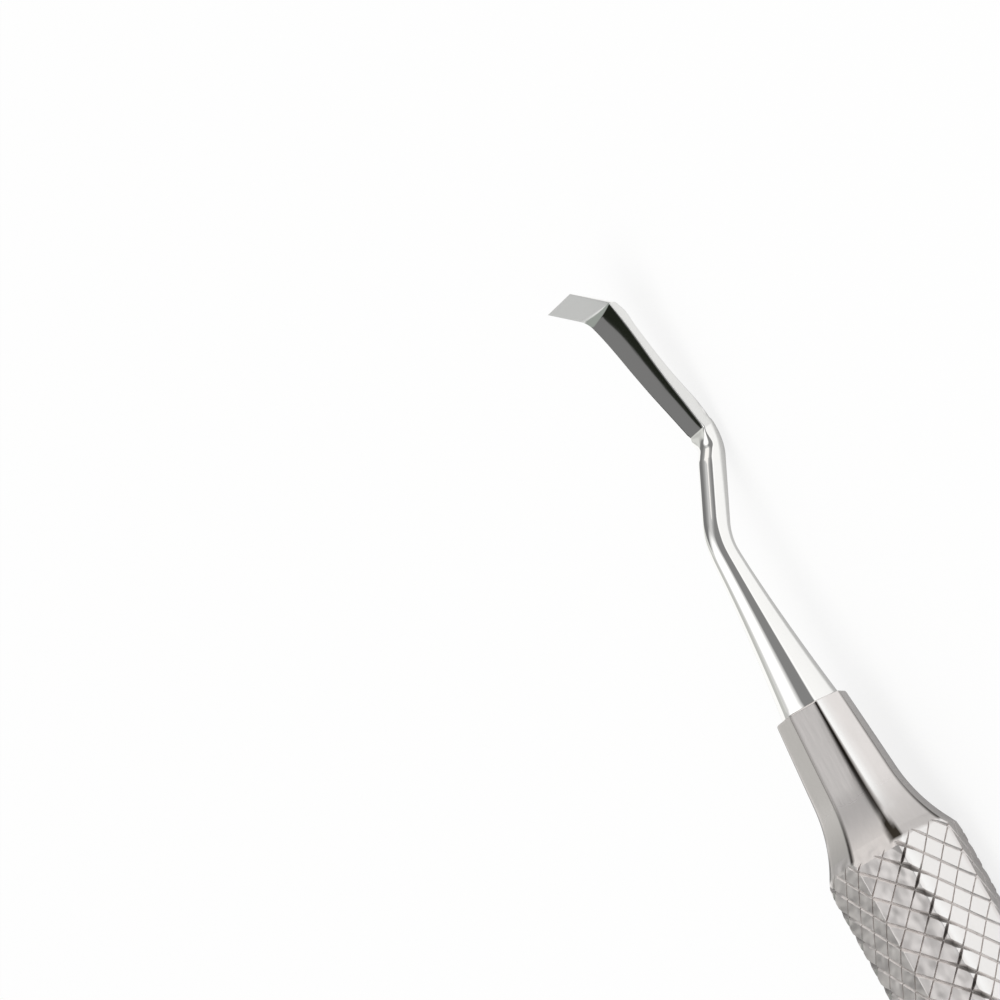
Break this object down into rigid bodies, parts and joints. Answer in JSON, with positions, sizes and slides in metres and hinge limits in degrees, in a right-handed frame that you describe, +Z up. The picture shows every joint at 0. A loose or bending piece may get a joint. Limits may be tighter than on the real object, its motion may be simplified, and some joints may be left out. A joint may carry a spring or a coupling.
{
  "type": "double-ended dental hand instrument",
  "caption": "Slim steel dental hand instrument: knurled octagonal handle, flared collars, and at each end a cranked shank with a flat blade and a short bent foot.",
  "frame": {"origin": "middle of the instrument's length and width, on the surface that it lies on", "axes": "+X along the handle towards the front working end, whose foot points up; +Y across the handle; +Z up, square to the wide flat that the handle rests on"},
  "size_m": [0.1738, 0.008, 0.008],
  "materials": {
    "handle_steel": "satin-polished stainless steel, knurled between the collars",
    "polished_steel": "mirror-polished stainless steel",
    "braze_alloy": "silver braze alloy, as melted"
  },
  "bodies": {
    "root": {"handle_bar": "handle_steel", "working_end_front": "polished_steel", "working_end_rear": "polished_steel", "braze_ring_front": "braze_alloy", "braze_ring_rear": "braze_alloy"}
  },
  "joints": []
}
